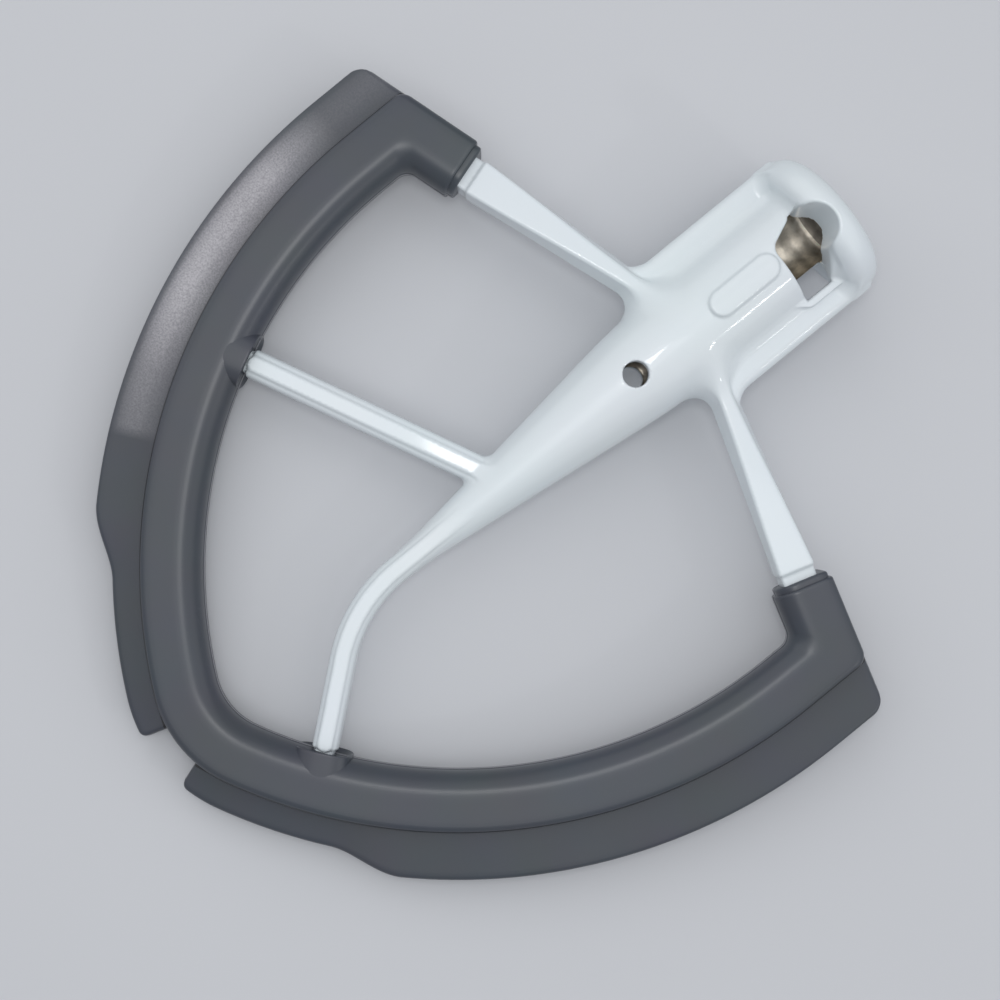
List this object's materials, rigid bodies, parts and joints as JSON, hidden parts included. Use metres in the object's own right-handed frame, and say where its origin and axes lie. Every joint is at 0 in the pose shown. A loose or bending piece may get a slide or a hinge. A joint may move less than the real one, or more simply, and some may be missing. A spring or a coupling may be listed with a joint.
{
  "type": "stand mixer flat beater",
  "caption": "Flat mixer beater: a white-coated casting with a pinned shaft socket, sloping arms and a curved rim that wears a soft grey wiping edge.",
  "frame": {"origin": "on the shaft socket's axis, in the plane of the socket's mouth", "axes": "+Y out of the socket's mouth along the drive shaft, +Z out of the front face with the bayonet window, +X across the beater to the side that the tail bends to"},
  "size_m": [0.1616, 0.1694, 0.0312],
  "materials": {
    "coating": "glossy white powder coating",
    "soft_edge": "satin dark grey"
  },
  "bodies": {
    "root": {"beater_frame": "coating", "flex_edge": "soft_edge"}
  },
  "joints": []
}
